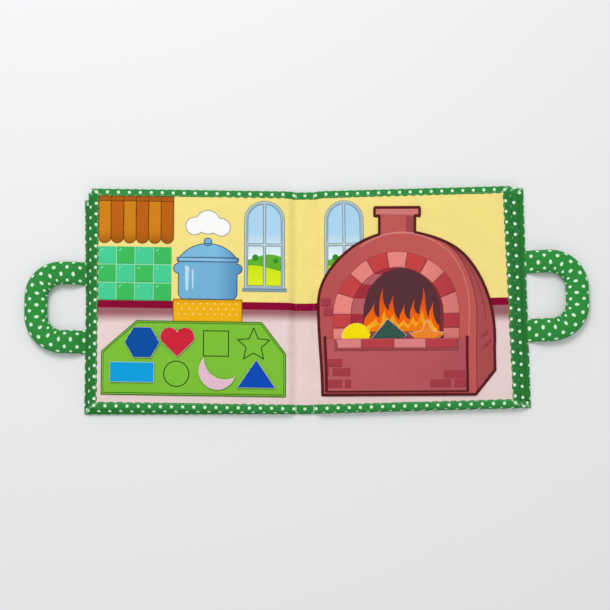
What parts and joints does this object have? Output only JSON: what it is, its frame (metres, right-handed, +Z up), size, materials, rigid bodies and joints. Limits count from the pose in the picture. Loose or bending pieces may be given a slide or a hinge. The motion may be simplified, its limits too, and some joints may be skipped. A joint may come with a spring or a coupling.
{
  "type": "baby activity book",
  "caption": "Open padded cloth activity book with dotted edge tape, carry handles, felt shapes on a board and an oven pocket.",
  "frame": {"origin": "under the middle of the fold, on the surface that the open book rests on", "axes": "+Z up out of the open pages, +X to the reader's right, +Y to the top of the page"},
  "size_m": [0.565, 0.227, 0.0124],
  "materials": {
    "dotted_cotton": "matt",
    "page_cotton": "matt",
    "white_thread": "matt",
    "yellow_print": "matt",
    "wine_print": "matt",
    "rose_print": "matt",
    "orange_print": "matt",
    "rust_print": "matt",
    "mint_print": "matt",
    "green_print": "matt",
    "pale_blue_print": "matt",
    "sky_print": "matt",
    "hill_print": "matt",
    "blue_print": "matt",
    "white_print": "matt",
    "gold_print": "matt",
    "board_cloth": "matt",
    "board_line": "matt",
    "hook_tape": "matt",
    "navy_felt": "matt",
    "red_felt": "matt",
    "sky_felt": "matt",
    "pink_felt": "matt",
    "yellow_felt": "matt",
    "pine_felt": "matt",
    "orange_felt": "matt",
    "brick_cloth": "matt",
    "satin_thread": "matt",
    "mouth_print": "matt",
    "light_brick_print": "matt",
    "red_brick_print": "matt",
    "flame_print": "matt",
    "ember_print": "matt",
    "pocket_cloth": "matt",
    "pocket_brick_print": "matt"
  },
  "bodies": {
    "spine": {"cover_spine": "dotted_cotton", "page_gutter": "page_cotton", "cover_spine_binding": "dotted_cotton", "page_gutter_binding": "dotted_cotton", "spine_thread_left": "white_thread", "spine_thread_right": "white_thread", "gutter_wall_print": "yellow_print", "gutter_band_print": "wine_print", "gutter_floor_print": "rose_print"},
    "left_half": {"left_cover": "dotted_cotton", "left_cover_binding": "dotted_cotton", "left_pages": "page_cotton", "left_middle_binding": "dotted_cotton", "left_top_binding": "dotted_cotton", "left_handle": "dotted_cotton", "left_wall_print": "yellow_print", "left_band_print": "wine_print", "left_floor_print": "rose_print", "awning_light_stripes": "orange_print", "awning_dark_stripes": "rust_print", "light_checks": "mint_print", "dark_checks": "green_print", "left_window_frame": "pale_blue_print", "left_window_sky": "sky_print", "left_window_hills": "hill_print", "pot_print": "blue_print", "lid_print": "white_print", "steam_print": "white_print", "cloth_print": "gold_print", "shape_board": "board_cloth", "shape_outlines": "board_line", "hook_patches": "hook_tape", "hexagon": "navy_felt", "heart": "red_felt", "rectangle": "sky_felt", "crescent": "pink_felt", "triangle": "navy_felt"},
    "right_half": {"right_cover": "dotted_cotton", "right_cover_binding": "dotted_cotton", "right_pages": "page_cotton", "right_middle_binding": "dotted_cotton", "right_top_binding": "dotted_cotton", "right_handle": "dotted_cotton", "right_wall_print": "yellow_print", "right_band_print": "wine_print", "right_floor_print": "rose_print", "right_window_frame": "pale_blue_print", "right_window_sky": "sky_print", "oven_panel": "brick_cloth", "oven_edge": "satin_thread", "oven_mouth": "mouth_print", "arch_light_bricks": "light_brick_print", "arch_dark_bricks": "red_brick_print", "outer_flames": "flame_print", "inner_flames": "ember_print", "pocket_front": "pocket_cloth", "pocket_bricks": "pocket_brick_print", "circle": "yellow_felt", "square": "pine_felt", "star": "orange_felt"}
  },
  "joints": [
    {"name": "left_half_turn", "type": "hinge", "parent": "spine", "child": "left_half", "pos_m": [-0.00885, 0, 0.0039], "axis": [0, 1, 0], "range_deg": [0, 90]},
    {"name": "right_half_turn", "type": "hinge", "parent": "spine", "child": "right_half", "pos_m": [0.00885, 0, 0.0039], "axis": [0, -1, 0], "range_deg": [0, 90]}
  ]
}
